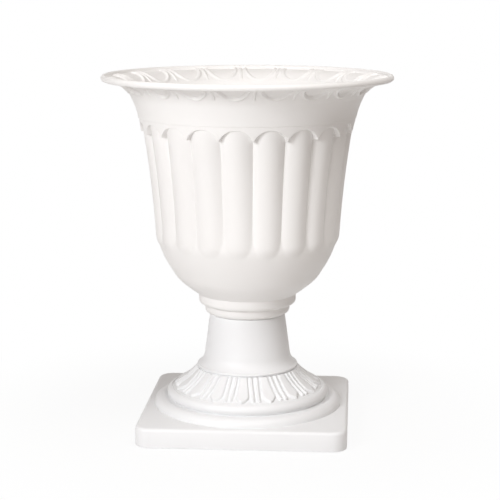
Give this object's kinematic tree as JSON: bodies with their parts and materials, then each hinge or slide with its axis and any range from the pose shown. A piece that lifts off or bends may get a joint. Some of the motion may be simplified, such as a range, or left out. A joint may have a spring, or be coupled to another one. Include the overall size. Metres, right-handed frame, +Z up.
{
  "type": "urn planter",
  "caption": "Classical urn planter: a reeded bowl with a flared rim that lifts off a moulded pedestal on a square plinth, with a stopper in its drain hole.",
  "frame": {"origin": "on the floor, under the middle of the urn", "axes": "+Z up along the urn's axis; the plinth's sides lie along X and Y, and its front faces -Y"},
  "size_m": [0.3799, 0.38, 0.467],
  "materials": {
    "bowl_plastic": "satin white polypropylene, moulded",
    "pedestal_plastic": "satin white polypropylene, moulded",
    "plug_rubber": "matt moulded rubber",
    "pad_rubber": "matt moulded rubber"
  },
  "bodies": {
    "pedestal": {"pedestal": "pedestal_plastic", "foot_pad_1": "pad_rubber", "foot_pad_2": "pad_rubber", "foot_pad_3": "pad_rubber", "foot_pad_4": "pad_rubber"},
    "bowl": {"bowl": "bowl_plastic"},
    "drain_plug": {"drain_plug": "plug_rubber"}
  },
  "joints": [
    {"name": "bowl_lift", "type": "slide", "parent": "pedestal", "child": "bowl", "axis": [0, 0, 1], "range_m": [0, 0.06]},
    {"name": "plug_pull", "type": "slide", "parent": "bowl", "child": "drain_plug", "axis": [0, 0, 1], "range_m": [0, 0.37]}
  ]
}
